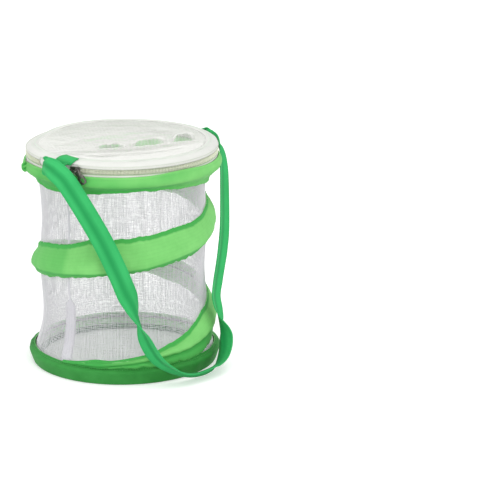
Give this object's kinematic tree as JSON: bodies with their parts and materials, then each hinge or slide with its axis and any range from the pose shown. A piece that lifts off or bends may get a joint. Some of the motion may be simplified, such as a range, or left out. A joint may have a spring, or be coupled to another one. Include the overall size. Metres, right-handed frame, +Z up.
{
  "type": "collapsible insect cage",
  "caption": "Pop-up insect cage: a net tube sprung by a spiral wire between two wire rings, with a zipped net lid and a webbing shoulder strap.",
  "frame": {"origin": "middle of the underside of the floor, on the surface the cage stands on", "axes": "+Z up along the tube's axis; -Y towards the picture's viewer, +X to the viewer's right"},
  "size_m": [0.2085, 0.216, 0.2316],
  "materials": {
    "white_net": "fine white polyester net",
    "white_tape": "white woven tape",
    "floor_cloth": "pale grey cloth",
    "dark_binding": "dark green binding",
    "green_cloth": "light green polyester cloth, slight sheen",
    "green_webbing": "green webbing",
    "zip_teeth": "cream nylon coil",
    "dark_metal": "dark nickel plate",
    "spring_wire": "bare spring steel",
    "crimp": "zinc plate"
  },
  "bodies": {
    "base": {"floor_panel": "floor_cloth", "floor_binding": "dark_binding", "bottom_ring_wire": "spring_wire", "bottom_ring_ferrule": "crimp", "bottom_ring_sleeve": "green_cloth", "side_net": "white_net", "side_seam_tape": "white_tape", "spiral_wire": "spring_wire", "spiral_wire_cap_upper": "crimp", "spiral_wire_cap_lower": "crimp", "spiral_sleeve": "green_cloth"},
    "top": {"top_ring_wire": "spring_wire", "top_ring_ferrule": "crimp", "top_ring_sleeve": "green_cloth", "zip_tape_lower": "white_tape", "zip_teeth_lower": "zip_teeth", "lid_hinge_gusset": "white_tape", "strap_patch_rear": "green_webbing"},
    "lid": {"lid_net": "white_net", "lid_binding": "white_tape", "zip_tape_upper": "white_tape", "zip_teeth_upper": "zip_teeth", "strap_tab_front": "green_webbing"},
    "slider": {"slider_body": "dark_metal"},
    "pull": {"zip_pull": "dark_metal"},
    "strap": {"shoulder_strap": "green_webbing"}
  },
  "joints": [
    {"name": "collapse", "type": "slide", "parent": "base", "child": "top", "axis": [0, 0, -1], "range_m": [0, 0.163], "stiffness_N_per_m": 30, "springref_m": -0.06, "deforming": ["side_net", "side_seam_tape", "spiral_wire", "spiral_wire_cap_upper", "spiral_wire_cap_lower", "spiral_sleeve", "shoulder_strap"]},
    {"name": "lid_open", "type": "hinge", "parent": "top", "child": "lid", "pos_m": [-0.06092, -0.07523, 0.226], "axis": [0.7771, -0.6293, 0], "range_deg": [0, 105]},
    {"name": "slider_travel", "type": "hinge", "parent": "top", "child": "slider", "pos_m": [0, 0, 0.219], "axis": [0, 0, 1], "range_deg": [0, 330]},
    {"name": "pull_swing", "type": "hinge", "parent": "slider", "child": "pull", "pos_m": [-0.03968, -0.09278, 0.21903], "axis": [-0.4258, -0.9048, 0], "range_deg": [-50, 90]},
    {"name": "strap_swing", "type": "hinge", "parent": "top", "child": "strap", "pos_m": [-0.0571, -0.0786, 0.2235], "axis": [-0.5918, -0.7995, 0.1027], "range_deg": [0, 150]}
  ]
}
